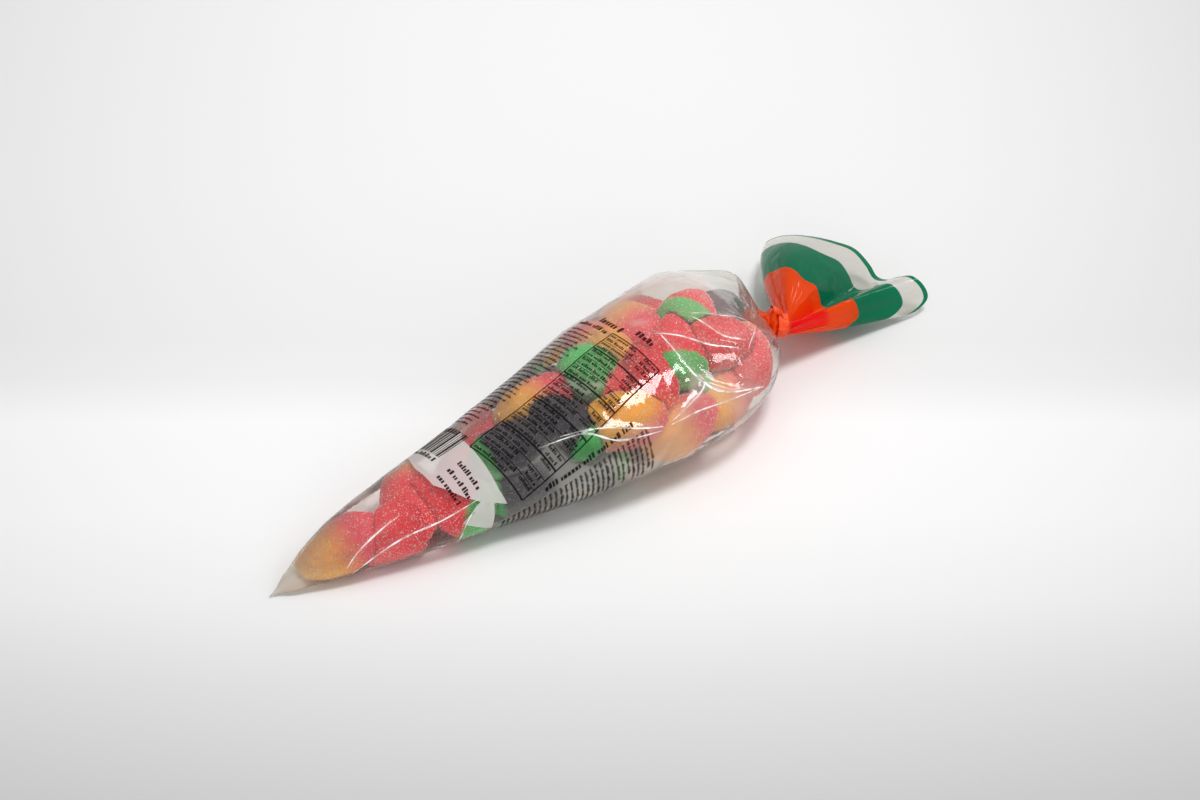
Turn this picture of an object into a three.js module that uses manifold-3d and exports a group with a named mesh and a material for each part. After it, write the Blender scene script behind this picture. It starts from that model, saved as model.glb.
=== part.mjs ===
// A see-through film cone filled with sour fruit gummies and tied at the neck, lying on its side.
// Units are millimetres. +X runs from the pointed tip to the flared skirt, +Z is up, and the floor is z = 0.
// While it is being drawn the tip is at x = 0. The finished pack is then centred over its own footprint.
import * as THREE from 'three';
import { mergeVertices } from 'three/addons/utils/BufferGeometryUtils.js';
import Module from 'manifold-3d';

const wasm = await Module();
wasm.setup();

// Film and fits. Real film is about 0.05 thick; the wall here is thick enough to be a solid.
const FILM_WALL = 0.4;
const SEAT_GAP = 0.3;

// The filled cone from its tip to its neck, and the skirt from the neck to its rim.
const BAG_LENGTH = 206;
const BAG_WIDTH = 82;
const BAG_HEIGHT = 42.5;
const SKIRT_LENGTH = 65;

// The filled cone, as the side folds, crown and underside of its cross-section at each row along the pack:
// x, y and z of the far and near side folds, and x and z of the crown and the underside.
// pinch, far then near, is 1 for a round side, and more where the film is pressed to a sharp fold.
// The rows are drawn for a cone of DRAWN_SIZE, and stretched to the sizes above.
const DRAWN_SIZE = [206, 82, 42.5];
const BAG_ROWS = [
  { far: [0, 1.2, 0.9], near: [0, -1.2, 0.9], crown: [0, 1.6], under: [0, 0.2], pinch: [1.2, 1.2] },
  { far: [9, 5.5, 2.5], near: [9, -4.5, 2.5], crown: [9, 5.5], under: [9, -0.2], pinch: [1.4, 1.4] },
  { far: [20, 10.5, 5], near: [20, -8.5, 4.5], crown: [20, 11], under: [20, -0.8], pinch: [1.3, 1.3] },
  { far: [36, 15, 8], near: [36, -13, 7], crown: [36, 17], under: [36, -1.3], pinch: [1.1, 1.1] },
  { far: [58, 18.5, 10], near: [58, -18, 9.5], crown: [58, 22], under: [58, -1.8], pinch: [1, 1] },
  { far: [82, 22.5, 13], near: [82, -22.5, 12], crown: [82, 28], under: [82, -2], pinch: [1, 1] },
  { far: [106, 27, 16], near: [106, -28.5, 15], crown: [106, 34.5], under: [106, -2.2], pinch: [1, 1] },
  { far: [132, 33.5, 19], near: [132, -32.5, 18], crown: [132, 40.5], under: [132, -2.4], pinch: [1, 1] },
  { far: [156, 38.5, 21], near: [154, -33.5, 19], crown: [155, 42.5], under: [155, -2.4], pinch: [1.2, 1.05] },
  { far: [174, 45, 21], near: [172, -30.5, 18], crown: [172, 41.5], under: [175, -2], pinch: [1.6, 1.15] },
  { far: [188, 48.5, 20.5], near: [187, -23, 17], crown: [185, 37], under: [190, 0.5], pinch: [1.9, 1.3] },
  { far: [203, 40.5, 20.5], near: [197, -14, 17], crown: [193, 31.5], under: [200, 4.5], pinch: [1.9, 1.3] },
  { far: [212, 32, 20], near: [202, -8, 17.5], crown: [198, 27.5], under: [205, 9.5], pinch: [1.7, 1.15] },
  { far: [206, 10, 20.5], near: [203, -3, 18], crown: [201, 25], under: [205, 14.5], pinch: [1, 1] },
];

// The tied neck droops a little towards the floor and to the near side.
const NECK_YAW = -30;
const NECK_PITCH = -8;
const NECK_PUFF_RADIUS = 4.8;
const NECK_PUFF_LENGTH = 3.5;
const NECK_RADIUS = 3;
const NECK_PLEATS = 8;
const NECK_PLEAT_DEPTH = 0.3;

// The tie is a flat ribbon with a wire in it, wound once round the neck and twisted into a short tail.
const TIE_WIDTH = 3.6;
const TIE_WALL = 0.7;
const TIE_TAIL_LENGTH = 6;
const TIE_TAIL_WIDTH = 2.4;
const TIE_TAIL_TWIST = 200;
const TIE_TAIL_LEAN = 50;

// The skirt's rim, once round from the far fold over the top layer to the near fold and back underneath:
// x and y from the end of the neck, z above the floor, and how far the film between neck and rim lies above
// the straight way there. It is drawn for a skirt of DRAWN_SKIRT.
const DRAWN_SKIRT = 65;
const RIM = [
  [30.5, 52.5, 9, 0],
  [32.5, 49.5, 13, 4],
  [35.5, 43, 17, 7],
  [40.5, 36.5, 18, 8],
  [47, 31.5, 16, 7],
  [53.5, 28, 12, 5],
  [56, 22.5, 7.5, 1],
  [55, 16.5, 6, -4],
  [55, 11, 8, -2],
  [56.5, 6.5, 11.5, 2],
  [59.5, 2.5, 13, 3],
  [62, -1.5, 10, 2],
  [63, -3, 5, 0],
  [57.5, -4.5, 3, -1],
  [51.5, -3.5, 2.4, -3],
  [47.5, 4.5, 2.8, -4],
  [46.5, 14.5, 2.2, -5],
  [47.5, 23.5, 2.4, -5],
  [44.5, 32.5, 4.5, -5],
  [37.5, 41.5, 6, -4],
  [30.5, 48.5, 5, -2],
];
const SKIRT_SPREAD = 12;
const SKIRT_PLEAT_DEPTH = 1.1;

// How finely the film is drawn.
const AROUND = 40;
const BAG_STEPS = 26;
const NECK_STEPS = 6;
const SKIRT_STEPS = 7;

// Print on the film: where its fields of colour end, as shares of the skirt's length from the neck.
const ORANGE_END = 0.5;
const GREEN_END = 0.82;
const EDGE_LINE_START = 0.965;
const CLEAR_FILM = [0.9, 0.9, 0.87, 0.25];
const ORANGE_INK = [1.0, 0.22, 0.02, 1];
const GREEN_INK = [0.0, 0.28, 0.15, 1];

// Gummies: length along the fruit, width across it and thickness, and its outline from blunt tip to leafy end
// as shares of half its length and half its width.
const STRAWBERRY = {
  length: 32,
  width: 22,
  thick: 16,
  outline: [[-1, 0], [-0.92, 0.26], [-0.45, 0.66], [0.1, 0.95], [0.55, 1], [0.9, 0.62], [1, 0]],
  body: '#d02038',
  cap: '#2f8f3a',
  capShare: 0.3,
};
const PEACH = {
  length: 33,
  width: 21,
  thick: 16.5,
  outline: [[-1, 0], [-0.9, 0.45], [-0.5, 0.87], [0, 1], [0.5, 0.87], [0.9, 0.45], [1, 0]],
  body: '#e8952c',
  cap: '#d8485a',
  capShare: 0.45,
};
const RIPE_PEACH = { ...PEACH, capShare: 0.75 };
const GRAPE = {
  length: 31,
  width: 20,
  thick: 16,
  outline: [[-1, 0], [-0.92, 0.4], [-0.55, 0.8], [0, 1], [0.55, 0.92], [0.92, 0.46], [1, 0]],
  body: '#2c2434',
  cap: '#3a8f44',
  capShare: 0.22,
};
const FRUIT_SIDES = 12;

// Each gummy's middle in a cone of DRAWN_SIZE, and its turn in degrees about the vertical, about its own width
// and about its length.
// Those on top come first: each is pressed against the ones before it.
const GUMMIES = [
  { kind: PEACH, at: [31, 2.5, 9], turn: [-8, -16, 25] },
  { kind: RIPE_PEACH, at: [54, 0, 12], turn: [-115, 15, 0] },
  { kind: STRAWBERRY, at: [42, -8, 7], turn: [-6, -8, 60] },
  { kind: STRAWBERRY, at: [64, -9, 12], turn: [-45, 20, 35] },
  { kind: GRAPE, at: [95, -6, 22], turn: [170, 10, -15] },
  { kind: STRAWBERRY, at: [91, 12, 18], turn: [-100, 12, 10] },
  { kind: PEACH, at: [109, 12, 24], turn: [-5, -12, -25] },
  { kind: STRAWBERRY, at: [135, 0, 31], turn: [120, -5, -15] },
  { kind: GRAPE, at: [114, -10, 26], turn: [-70, 15, 20] },
  { kind: PEACH, at: [126, -18, 25], turn: [-15, 0, 45] },
  { kind: GRAPE, at: [113, -18, 13], turn: [-20, 5, 60] },
  { kind: GRAPE, at: [92, -14, 12], turn: [165, 8, -50] },
  { kind: STRAWBERRY, at: [158, -6, 33], turn: [-120, 12, -10] },
  { kind: PEACH, at: [152, -22, 17], turn: [5, -8, 65] },
  { kind: RIPE_PEACH, at: [146, -12, 28], turn: [60, -20, 5] },
  { kind: RIPE_PEACH, at: [173, -7, 28], turn: [5, 16, 25] },
  { kind: RIPE_PEACH, at: [184, -9, 19], turn: [-125, 5, -50] },
  { kind: PEACH, at: [172, -18, 14], turn: [15, -5, 70] },
  { kind: GRAPE, at: [159, -13, 19], turn: [-15, 12, 35] },
  { kind: GRAPE, at: [189, 16, 22], turn: [55, 10, 0] },
  { kind: STRAWBERRY, at: [178, 11, 30], turn: [-140, -12, -15] },
  { kind: PEACH, at: [160, 15, 28], turn: [-85, -8, 0] },
  { kind: PEACH, at: [143, 16, 26], turn: [100, 8, 5] },
  { kind: GRAPE, at: [122, 20, 17], turn: [25, 0, 20] },
  { kind: STRAWBERRY, at: [77, 2, 8], turn: [30, 0, 0] },
  { kind: PEACH, at: [103, 6, 9], turn: [100, 0, 0] },
  { kind: STRAWBERRY, at: [130, 1, 10], turn: [60, 0, 0] },
  { kind: GRAPE, at: [153, 5, 9], turn: [110, 0, 0] },
  { kind: PEACH, at: [148, 26, 12], turn: [20, -5, 20] },
  { kind: STRAWBERRY, at: [170, 24, 24], turn: [-80, 5, 0] },
  { kind: PEACH, at: [176, 6, 11], turn: [70, -5, 0] },
];
const SETTLE_ROUNDS = 60;
const SETTLE_REACH = 4;

// A smooth value through evenly spaced samples, t from 0 to samples.length - 1.
function smooth(samples, t) {
  const i = Math.min(Math.floor(t), samples.length - 2);
  const f = t - i;
  const at = (k) => samples[Math.max(0, Math.min(samples.length - 1, k))];
  const [a, b, c, d] = [at(i - 1), at(i), at(i + 1), at(i + 2)];
  return b + 0.5 * f * (c - a + f * (2 * a - 5 * b + 4 * c - d + f * (3 * (b - c) + d - a)));
}

const column = (side, k) => BAG_ROWS.map((row) => row[side][k]);
const GUIDES = {
  far: [0, 1, 2].map((k) => column('far', k)),
  near: [0, 1, 2].map((k) => column('near', k)),
  crown: [0, 1].map((k) => column('crown', k)),
  under: [0, 1].map((k) => column('under', k)),
  pinch: [0, 1].map((k) => column('pinch', k)),
};

const drawnSize = new THREE.Vector3(...DRAWN_SIZE);
const bagScale = new THREE.Vector3(BAG_LENGTH, BAG_WIDTH, BAG_HEIGHT).divide(drawnSize);

// The cross-section's guides at row t, a whole number at each of BAG_ROWS.
function bagRow(t) {
  const pick = (side) => GUIDES[side].map((samples) => smooth(samples, t));
  return Object.fromEntries(Object.keys(GUIDES).map((side) => [side, pick(side)]));
}

// A point of the bag's outer face at row t and angle v: 0 is the far fold, a quarter turn the crown.
function bagPoint(t, v) {
  const row = bagRow(t);
  const c = Math.cos(v);
  const s = Math.sin(v);
  const side = c >= 0 ? row.far : row.near;
  const end = s >= 0 ? row.crown : row.under;
  const midY = (row.far[1] + row.near[1]) / 2;
  const lift = Math.abs(s) ** row.pinch[c >= 0 ? 0 : 1];
  const x = side[0] * c * c + end[0] * s * s;
  const y = midY + (side[1] - midY) * Math.abs(c);
  const z = side[2] + (end[1] - side[2]) * lift;
  return new THREE.Vector3(x, y, Math.max(z, 0)).multiply(bagScale);
}

// The points of one ring round the film, from the far fold over the crown.
function ringOf(point) {
  return Array.from({ length: AROUND }, (_, k) => point((2 * Math.PI * k) / AROUND));
}

function middleOf(points) {
  return points.reduce((sum, p) => sum.add(p), new THREE.Vector3()).divideScalar(points.length);
}

// The tied neck's axis, with the directions towards its far side and its crown.
const [neckPitch, neckYaw] = [-NECK_PITCH, NECK_YAW].map(THREE.MathUtils.degToRad);
const neckTurn = new THREE.Euler(0, neckPitch, neckYaw, 'ZYX');
const neckAxis = new THREE.Vector3(1, 0, 0).applyEuler(neckTurn);
const neckFar = new THREE.Vector3(0, 1, 0).applyEuler(neckTurn);
const neckCrown = new THREE.Vector3(0, 0, 1).applyEuler(neckTurn);
const neckStart = middleOf(ringOf((v) => bagPoint(BAG_ROWS.length - 1, v)));
const neckLength = NECK_PUFF_LENGTH + TIE_WIDTH + 2 * SEAT_GAP;
const neckEnd = neckStart.clone().addScaledVector(neckAxis, neckLength);

// A point of the gathered neck, along its axis: a loose puff, then tight pleats under the band.
function neckPoint(along, v) {
  const puff = Math.sin(Math.PI * Math.min(along / NECK_PUFF_LENGTH, 1)) ** 2;
  const tight = THREE.MathUtils.smoothstep(along, 0, NECK_PUFF_LENGTH);
  const plain = THREE.MathUtils.lerp(NECK_PUFF_RADIUS * 0.8, NECK_RADIUS, tight);
  const pleats = 1 + (NECK_PLEAT_DEPTH / NECK_RADIUS) * Math.cos(NECK_PLEATS * v);
  const radius = (plain + (NECK_PUFF_RADIUS - plain) * puff) * pleats;
  return neckStart.clone()
    .addScaledVector(neckAxis, along)
    .addScaledVector(neckFar, radius * Math.cos(v))
    .addScaledVector(neckCrown, radius * Math.sin(v));
}

const skirtScale = SKIRT_LENGTH / DRAWN_SKIRT;
const rimAt = ([x, y, z]) => new THREE.Vector3(neckEnd.x + x * skirtScale, neckEnd.y + y * skirtScale, z);
const rimPoints = RIM.map(rimAt);
const rimCurve = new THREE.CatmullRomCurve3(rimPoints, true, 'centripetal');
const rimRise = RIM.map((p) => p[3]);

// A point of the skirt: t is 0 at the neck and 1 at the rim. The film leaves the tie sideways, then bends
// out to the rim.
function skirtPoint(t, v) {
  const share = v / (2 * Math.PI) % 1;
  const root = neckPoint(neckLength, v);
  const rim = rimCurve.getPoint(share);
  const spread = root.clone().sub(neckEnd).setLength(SKIRT_SPREAD * Math.max(Math.cos(v), 0) ** 2);
  const bend = root.clone().lerp(rim, 0.4).add(spread);
  bend.z += smooth([...rimRise, rimRise[0]], share * rimRise.length);
  const p = new THREE.QuadraticBezierCurve3(root, bend, rim).getPoint(t);
  p.z += SKIRT_PLEAT_DEPTH * Math.sin(Math.PI * t) * (1 - t) * Math.cos(NECK_PLEATS * v);
  return p;
}

// Rings of the film's outer face from the tip to the rim, each with its place on the print.
function filmRings() {
  const rings = [];
  const ring = (print, point) => rings.push({ print, points: ringOf(point) });
  for (let i = 0; i <= BAG_STEPS; i++) {
    const t = ((BAG_ROWS.length - 1) * i) / BAG_STEPS;
    ring(-1, (v) => bagPoint(t, v));
  }
  for (let i = 0; i <= NECK_STEPS; i++) ring(0, (v) => neckPoint((neckLength * i) / NECK_STEPS, v));
  for (let i = 1; i <= SKIRT_STEPS; i++) {
    const t = i / SKIRT_STEPS;
    ring(t, (v) => skirtPoint(t, v));
  }
  return rings;
}

// The film's inner face: each point of the outer rings moved inwards by depth along the face's normal.
function insetRings(rings, depth) {
  const along = new THREE.Vector3();
  const round = new THREE.Vector3();
  const normal = new THREE.Vector3();
  return rings.map((ring, i) => {
    const before = rings[Math.max(i - 1, 0)].points;
    const after = rings[Math.min(i + 1, rings.length - 1)].points;
    const points = ring.points.map((p, k) => {
      const next = ring.points[(k + 1) % AROUND];
      const last = ring.points[(k + AROUND - 1) % AROUND];
      along.subVectors(after[k], before[k]);
      round.subVectors(next, last);
      normal.crossVectors(round, along).normalize();
      return p.clone().addScaledVector(normal, -depth);
    });
    return { print: ring.print, points };
  });
}

// Collects points and triangles for one closed mesh.
class Skin {
  positions = [];
  colours = [];
  faces = [];

  addRing(points, colour) {
    const first = this.positions.length / 3;
    for (const p of points) {
      this.positions.push(p.x, p.y, p.z);
      this.colours.push(...colour);
    }
    return first;
  }

  // Joins two rings of the same size. They face out when the second is further along and the rings turn
  // from the far side over the crown.
  join(a, b, count, inward) {
    for (let k = 0; k < count; k++) {
      const n = (k + 1) % count;
      const quad = inward ? [a + k, b + k, b + n, a + n] : [a + k, a + n, b + n, b + k];
      this.faces.push(quad[0], quad[1], quad[2], quad[0], quad[2], quad[3]);
    }
  }

  // Closes a ring with a fan to its middle point.
  cap(first, points, colour, forward) {
    const hub = this.addRing([middleOf(points)], colour);
    points.forEach((_, k) => {
      const n = (k + 1) % points.length;
      const pair = forward ? [first + k, first + n] : [first + n, first + k];
      this.faces.push(hub, ...pair);
    });
  }

  geometry() {
    const g = new THREE.BufferGeometry();
    g.setAttribute('position', new THREE.Float32BufferAttribute(this.positions, 3));
    g.setAttribute('color', new THREE.Float32BufferAttribute(this.colours, 4));
    g.setIndex(this.faces);
    g.computeVertexNormals();
    return g;
  }
}

function printColour(share) {
  if (share < 0) return CLEAR_FILM;
  if (share <= ORANGE_END) return ORANGE_INK;
  if (share <= GREEN_END) return GREEN_INK;
  return share >= EDGE_LINE_START ? GREEN_INK : CLEAR_FILM;
}

// The film as one closed shell: outer face, inner face, and the cut edge at the rim.
function filmGeometry(outer, inner) {
  const skin = new Skin();
  const out = outer.map((ring) => skin.addRing(ring.points, printColour(ring.print)));
  const inn = inner.map((ring) => skin.addRing(ring.points, printColour(ring.print)));
  for (let i = 1; i < out.length; i++) skin.join(out[i - 1], out[i], AROUND, false);
  for (let i = 1; i < inn.length; i++) skin.join(inn[i - 1], inn[i], AROUND, true);
  skin.join(out.at(-1), inn.at(-1), AROUND, false);
  skin.cap(out[0], outer[0].points, CLEAR_FILM, false);
  skin.cap(inn[0], inner[0].points, CLEAR_FILM, true);
  return skin.geometry();
}

// A geometry as a solid that can be cut and joined. Points that lie together are made one before it is placed.
function solidOf(geometry, toWorld = new THREE.Matrix4()) {
  const bare = new THREE.BufferGeometry();
  bare.setAttribute('position', geometry.getAttribute('position'));
  bare.setIndex(geometry.getIndex());
  const merged = mergeVertices(bare, 1e-4);
  const index = Array.from(merged.getIndex().array);
  const triVerts = [];
  for (let i = 0; i < index.length; i += 3) {
    const [a, b, c] = index.slice(i, i + 3);
    if (a !== b && b !== c && c !== a) triVerts.push(a, b, c);
  }
  merged.applyMatrix4(toWorld);
  return new wasm.Manifold(new wasm.Mesh({
    numProp: 3,
    vertProperties: new Float32Array(merged.getAttribute('position').array),
    triVerts: new Uint32Array(triVerts),
  }));
}

function geometryOf(solid) {
  const mesh = solid.getMesh();
  const g = new THREE.BufferGeometry();
  g.setAttribute('position', new THREE.Float32BufferAttribute(mesh.vertProperties, 3));
  g.setIndex(Array.from(mesh.triVerts));
  g.computeVertexNormals();
  return g;
}

// One gummy along its own +X, from its blunt tip to its leafy end, turned on a lathe and pressed flatter.
// grow widens it all round.
function gummyGeometry(kind, grow = 0) {
  const profile = kind.outline.map(([along, out]) => new THREE.Vector2(out, along));
  const g = new THREE.LatheGeometry(profile, FRUIT_SIDES);
  g.rotateZ(-Math.PI / 2);
  g.scale(kind.length / 2 + grow, kind.width / 2 + grow, kind.thick / 2 + grow);
  return g;
}

// Colours a gummy's leafy end, or its blush.
function paint(geometry, kind) {
  const place = geometry.getAttribute('position');
  const capStart = (kind.length / 2) * (1 - 2 * kind.capShare);
  const [body, cap] = [kind.body, kind.cap].map((hex) => new THREE.Color(hex));
  const colours = [];
  for (let i = 0; i < place.count; i++) colours.push(...(place.getX(i) > capStart ? cap : body).toArray());
  geometry.setAttribute('color', new THREE.Float32BufferAttribute(colours, 3));
}

// The row of the bag at which its crown is at x, as drawn.
function rowAt(x) {
  let [low, high] = [0, BAG_ROWS.length - 1];
  for (let i = 0; i < 30; i++) {
    const middle = (low + high) / 2;
    if (smooth(GUIDES.crown[0], middle) < x) low = middle;
    else high = middle;
  }
  return low;
}

// The middle, half-width and half-height of the bag's inside at x.
function roomAt(x) {
  const row = bagRow(rowAt(x / bagScale.x));
  const floor = Math.max(row.under[1], 0);
  return {
    y: bagScale.y * (row.far[1] + row.near[1]) / 2,
    halfY: bagScale.y * (row.far[1] - row.near[1]) / 2 - FILM_WALL,
    z: bagScale.z * (row.crown[1] + floor) / 2,
    halfZ: bagScale.z * (row.crown[1] - floor) / 2 - FILM_WALL,
  };
}

// Three balls along a gummy stand for it while the heap settles.
function ballsOf(gummy) {
  const { length, width, thick } = gummy.kind;
  const radius = (width + thick) / 4;
  const reach = length / 2 - radius;
  const axis = new THREE.Vector3(1, 0, 0).applyEuler(gummy.euler);
  return [-1, 0, 1].map((k) => ({
    centre: gummy.centre.clone().addScaledVector(axis, reach * k),
    radius: k === 0 ? radius : radius * 0.85,
  }));
}

// Pushes the gummies apart, and back inside the film, a little at a time.
function settle(gummies) {
  for (let round = 0; round < SETTLE_ROUNDS; round++) {
    const balls = gummies.map(ballsOf);
    gummies.forEach((a, i) => gummies.slice(i + 1).forEach((b, offset) => {
      const j = i + 1 + offset;
      for (const p of balls[i]) for (const q of balls[j]) {
        const apart = p.centre.clone().sub(q.centre);
        const deep = p.radius + q.radius - apart.length();
        if (deep <= 0) continue;
        apart.setLength(deep * 0.15);
        a.centre.add(apart);
        b.centre.sub(apart);
      }
    }));
    gummies.forEach((gummy) => {
      for (const ball of ballsOf(gummy)) {
        const room = roomAt(ball.centre.x);
        const y = (ball.centre.y - room.y) / Math.max(room.halfY - ball.radius, 0.5);
        const z = (ball.centre.z - room.z) / Math.max(room.halfZ - ball.radius, 0.5);
        const out = Math.hypot(y, z);
        if (out <= 1) continue;
        gummy.centre.y += (ball.centre.y - room.y) * (1 / out - 1) * 0.5;
        gummy.centre.z += (ball.centre.z - room.z) * (1 / out - 1) * 0.5;
      }
      const moved = gummy.centre.clone().sub(gummy.home).clampLength(0, SETTLE_REACH);
      gummy.centre.copy(gummy.home).add(moved);
    });
  }
}

function placeGummies() {
  const gummies = GUMMIES.map(({ kind, at, turn }) => {
    const [yaw, pitch, roll] = turn.map(THREE.MathUtils.degToRad);
    const home = new THREE.Vector3(...at).multiply(bagScale);
    return { kind, home, euler: new THREE.Euler(roll, pitch, yaw, 'ZYX'), centre: home.clone() };
  });
  settle(gummies);
  return gummies;
}

function placement(gummy) {
  const turn = new THREE.Quaternion().setFromEuler(gummy.euler);
  return new THREE.Matrix4().compose(gummy.centre, turn, new THREE.Vector3(1, 1, 1));
}

// The largest of the bodies that a solid falls into.
function largestBody(solid) {
  return solid.decompose().reduce((a, b) => (b.volume() > a.volume() ? b : a));
}

// The bag's inside, which the gummies fill.
function cavitySolid(outer) {
  const bagRings = outer.slice(0, BAG_STEPS + 1);
  const rings = insetRings(outer, FILM_WALL + SEAT_GAP).slice(2, bagRings.length);
  const skin = new Skin();
  const first = rings.map((ring) => skin.addRing(ring.points, CLEAR_FILM));
  for (let i = 1; i < first.length; i++) skin.join(first[i - 1], first[i], AROUND, false);
  skin.cap(first[0], rings[0].points, CLEAR_FILM, false);
  skin.cap(first.at(-1), rings.at(-1).points, CLEAR_FILM, true);
  return solidOf(skin.geometry());
}

// Each gummy, pressed against the film and against the gummies placed before it.
function gummyMeshes(cavity) {
  const gummies = placeGummies();
  const placed = [];
  return gummies.map((gummy, i) => {
    const toWorld = placement(gummy);
    const shape = (grow) => solidOf(gummyGeometry(gummy.kind, grow), toWorld);
    let solid = shape(0).intersect(cavity);
    for (const other of placed) solid = solid.subtract(other);
    placed.push(shape(SEAT_GAP));
    const geometry = geometryOf(largestBody(solid)).applyMatrix4(toWorld.clone().invert());
    paint(geometry, gummy.kind);
    const material = new THREE.MeshStandardMaterial({ vertexColors: true, roughness: 0.75, metalness: 0 });
    const mesh = new THREE.Mesh(geometry, material);
    mesh.name = `gummy_${String(i + 1).padStart(2, '0')}`;
    mesh.applyMatrix4(toWorld);
    return mesh;
  });
}

// The tie: its turn round the neck, and its twisted tail standing up from the crown.
function tieMesh() {
  const inside = NECK_RADIUS + NECK_PLEAT_DEPTH + SEAT_GAP;
  const outside = inside + TIE_WALL;
  const half = TIE_WIDTH / 2;
  const profile = [[inside, -half], [outside, -half], [outside, half], [inside, half], [inside, -half]]
    .map(([r, along]) => new THREE.Vector2(r, along));
  const turn = new THREE.LatheGeometry(profile, 32);
  turn.rotateZ(-Math.PI / 2);
  const steps = 8;
  const tail = new THREE.BoxGeometry(TIE_TAIL_WIDTH, 2 * TIE_WALL, TIE_TAIL_LENGTH, 1, 1, steps);
  const place = tail.getAttribute('position');
  const p = new THREE.Vector3();
  const up = new THREE.Vector3(0, 0, 1);
  for (let i = 0; i < place.count; i++) {
    p.fromBufferAttribute(place, i);
    p.applyAxisAngle(up, THREE.MathUtils.degToRad(TIE_TAIL_TWIST) * (p.z / TIE_TAIL_LENGTH + 0.5));
    place.setXYZ(i, p.x, p.y, p.z + TIE_TAIL_LENGTH / 2);
  }
  tail.rotateY(-THREE.MathUtils.degToRad(TIE_TAIL_LEAN));
  tail.translate(0, 0, outside);
  const solid = solidOf(turn).add(solidOf(tail));
  const material = new THREE.MeshStandardMaterial({ color: '#f03a1c', roughness: 0.45, metalness: 0 });
  const mesh = new THREE.Mesh(geometryOf(solid), material);
  mesh.name = 'neck_tie';
  mesh.position.copy(neckStart).addScaledVector(neckAxis, NECK_PUFF_LENGTH + SEAT_GAP + half);
  mesh.setRotationFromEuler(neckTurn);
  return mesh;
}

const outer = filmRings();
const inner = insetRings(outer, FILM_WALL).slice(1);

const film = new THREE.Mesh(
  filmGeometry(outer, inner),
  new THREE.MeshStandardMaterial({ vertexColors: true, transparent: true, roughness: 0.15, metalness: 0,
    side: THREE.DoubleSide }),
);
film.name = 'film_bag';

const pack = new THREE.Group();
pack.name = 'candy_cone';
pack.add(film, tieMesh(), ...gummyMeshes(cavitySolid(outer)));

const footprint = new THREE.Box3().setFromObject(pack, true);
const middle = footprint.getCenter(new THREE.Vector3());
pack.position.set(-middle.x, -middle.y, -footprint.min.z);

export default pack;
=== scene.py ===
"""A film cone of sugared fruit gummies, tied at the neck: film, print, sweets and tie over the solids."""

import math

import bpy
import numpy as np
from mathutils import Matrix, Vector
from mathutils.bvhtree import BVHTree


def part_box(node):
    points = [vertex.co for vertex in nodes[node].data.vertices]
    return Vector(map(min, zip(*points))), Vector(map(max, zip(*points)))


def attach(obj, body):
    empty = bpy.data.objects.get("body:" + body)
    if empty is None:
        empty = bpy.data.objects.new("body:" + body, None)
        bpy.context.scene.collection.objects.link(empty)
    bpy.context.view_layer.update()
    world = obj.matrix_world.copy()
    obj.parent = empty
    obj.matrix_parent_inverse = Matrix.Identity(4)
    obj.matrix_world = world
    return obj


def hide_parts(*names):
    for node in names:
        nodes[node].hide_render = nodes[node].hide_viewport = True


MM = 0.001
RNG = np.random.default_rng(11)

# Shape of the film, in millimetres, with the tip of the cone at x = 0 and the floor at z = 0

# The filled cone's cross-sections: far and near side folds as x, y, z, crown and underside as x, z, and how
# sharply the two folds are pinched.
BAG_ROWS = [
    ((0, 1.2, 0.9), (0, -1.2, 0.9), (0, 1.6), (0, 0.2), (1.2, 1.2)),
    ((9, 5.5, 2.5), (9, -4.5, 2.5), (9, 5.5), (9, -0.2), (1.4, 1.4)),
    ((20, 10.5, 5), (20, -8.5, 4.5), (20, 11), (20, -0.8), (1.3, 1.3)),
    ((36, 15, 8), (36, -13, 7), (36, 17), (36, -1.3), (1.1, 1.1)),
    ((58, 18.5, 10), (58, -18, 9.5), (58, 22), (58, -1.8), (1, 1)),
    ((82, 22.5, 13), (82, -22.5, 12), (82, 28), (82, -2), (1, 1)),
    ((106, 27, 16), (106, -28.5, 15), (106, 34.5), (106, -2.2), (1, 1)),
    ((132, 33.5, 19), (132, -32.5, 18), (132, 40.5), (132, -2.4), (1, 1)),
    ((156, 38.5, 21), (154, -33.5, 19), (155, 42.5), (155, -2.4), (1.2, 1.05)),
    ((174, 45, 21), (172, -30.5, 18), (172, 41.5), (175, -2), (1.6, 1.15)),
    ((188, 48.5, 20.5), (187, -23, 17), (185, 37), (190, 0.5), (1.9, 1.3)),
    ((203, 40.5, 20.5), (197, -14, 17), (193, 31.5), (200, 4.5), (1.9, 1.3)),
    ((212, 32, 20), (202, -8, 17.5), (198, 27.5), (205, 9.5), (1.7, 1.15)),
    ((206, 10, 20.5), (203, -3, 18), (201, 25), (205, 14.5), (1, 1)),
]
NECK_YAW = -30
NECK_DROOP = 8
NECK_PUFF_RADIUS = 4.8
NECK_PUFF_LENGTH = 3.5
NECK_RADIUS = 3
# The neck's radius where it leaves the cone, as a share of the puff's.
NECK_START_SHARE = 0.8
NECK_PLEATS = 8
NECK_PLEAT_DEPTH = 0.3
TIE_WIDTH = 3.6
TIE_WALL = 0.7
TIE_TAIL = dict(length=6, width=2.4, twist=200, lean=50)
SEAT_GAP = 0.3
NECK_LENGTH = NECK_PUFF_LENGTH + TIE_WIDTH + 2 * SEAT_GAP

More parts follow.
